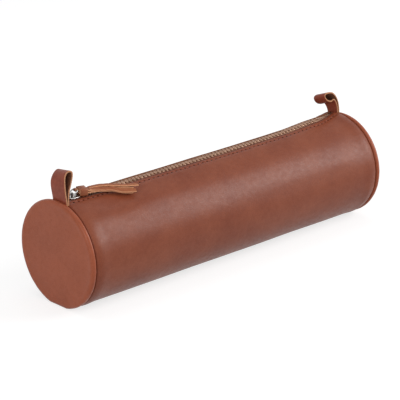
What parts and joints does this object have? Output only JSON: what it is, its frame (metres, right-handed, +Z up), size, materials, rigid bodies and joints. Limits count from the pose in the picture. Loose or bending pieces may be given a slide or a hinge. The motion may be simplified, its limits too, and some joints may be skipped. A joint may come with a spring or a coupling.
{
  "type": "pencil case",
  "caption": "Round leather pencil case with a zip along the top, flat sewn end discs, a folded strap loop at each end and a slit leather zip pull.",
  "frame": {"origin": "on the table, under the middle of the case", "axes": "+X along the case from the closed end of the zip to its open end, +Y to the back, away from the side the zip pull lies on, +Z up, out of the zip"},
  "size_m": [0.22, 0.06, 0.0752],
  "materials": {
    "body_panel": "satin waxed leather",
    "back_lip_panel": "satin waxed leather",
    "left_end_disc": "satin waxed leather",
    "right_end_disc": "satin waxed leather",
    "left_end_loop": "satin waxed leather, raw edges",
    "right_end_loop": "satin waxed leather, raw edges",
    "tassel_strip": "satin waxed leather, raw edges",
    "tassel_band": "satin waxed leather",
    "zip_tape_front": "woven tape",
    "zip_tape_back": "woven tape",
    "zip_teeth_front": "plated metal teeth on a cord",
    "zip_teeth_back": "plated metal teeth on a cord",
    "top_stop_front": "bright nickel plate",
    "top_stop_back": "bright nickel plate",
    "bottom_stop": "bright nickel plate",
    "slider_body": "bright nickel plate",
    "pull_ring": "bright nickel plate"
  },
  "bodies": {
    "case": {"body_panel": "body_panel", "left_end_disc": "left_end_disc", "right_end_disc": "right_end_disc", "zip_tape_front": "zip_tape_front", "zip_teeth_front": "zip_teeth_front", "top_stop_front": "top_stop_front", "bottom_stop": "bottom_stop"},
    "back_lip": {"back_lip_panel": "back_lip_panel", "zip_tape_back": "zip_tape_back", "zip_teeth_back": "zip_teeth_back", "top_stop_back": "top_stop_back"},
    "slider": {"slider_body": "slider_body"},
    "pull": {"pull_ring": "pull_ring"},
    "tassel": {"tassel_strip": "tassel_strip", "tassel_band": "tassel_band"},
    "left_loop": {"left_end_loop": "left_end_loop"},
    "right_loop": {"right_end_loop": "right_end_loop"}
  },
  "joints": [
    {"name": "zip_slide", "type": "slide", "parent": "case", "child": "slider", "axis": [1, 0, 0], "range_m": [0, 0.183], "deforming": ["zip_teeth_front", "zip_teeth_back", "zip_tape_back"]},
    {"name": "back_lip_open", "type": "hinge", "parent": "case", "child": "back_lip", "pos_m": [0, 0.02819, 0.03943], "axis": [-1, 0, 0], "range_deg": [0, 40]},
    {"name": "pull_ring_swing", "type": "hinge", "parent": "slider", "child": "pull", "pos_m": [-0.0993, 0, 0.06022], "axis": [0, -1, 0], "range_deg": [0, 55]},
    {"name": "tassel_swing", "type": "hinge", "parent": "pull", "child": "tassel", "pos_m": [-0.09577, 0, 0.0621], "axis": [0, -1, 0], "range_deg": [0, 40]},
    {"name": "left_loop_fold", "type": "hinge", "parent": "case", "child": "left_loop", "pos_m": [-0.107, -0.0012, 0.06067], "axis": [0, -1, 0], "range_deg": [0, 75]},
    {"name": "right_loop_fold", "type": "hinge", "parent": "case", "child": "right_loop", "pos_m": [0.107, 0.0066, 0.06067], "axis": [0, 1, 0], "range_deg": [0, 90]}
  ],
  "couplings": [
    {"joint": "back_lip_open", "follows": "zip_slide", "rad_per_m": 3.815}
  ]
}
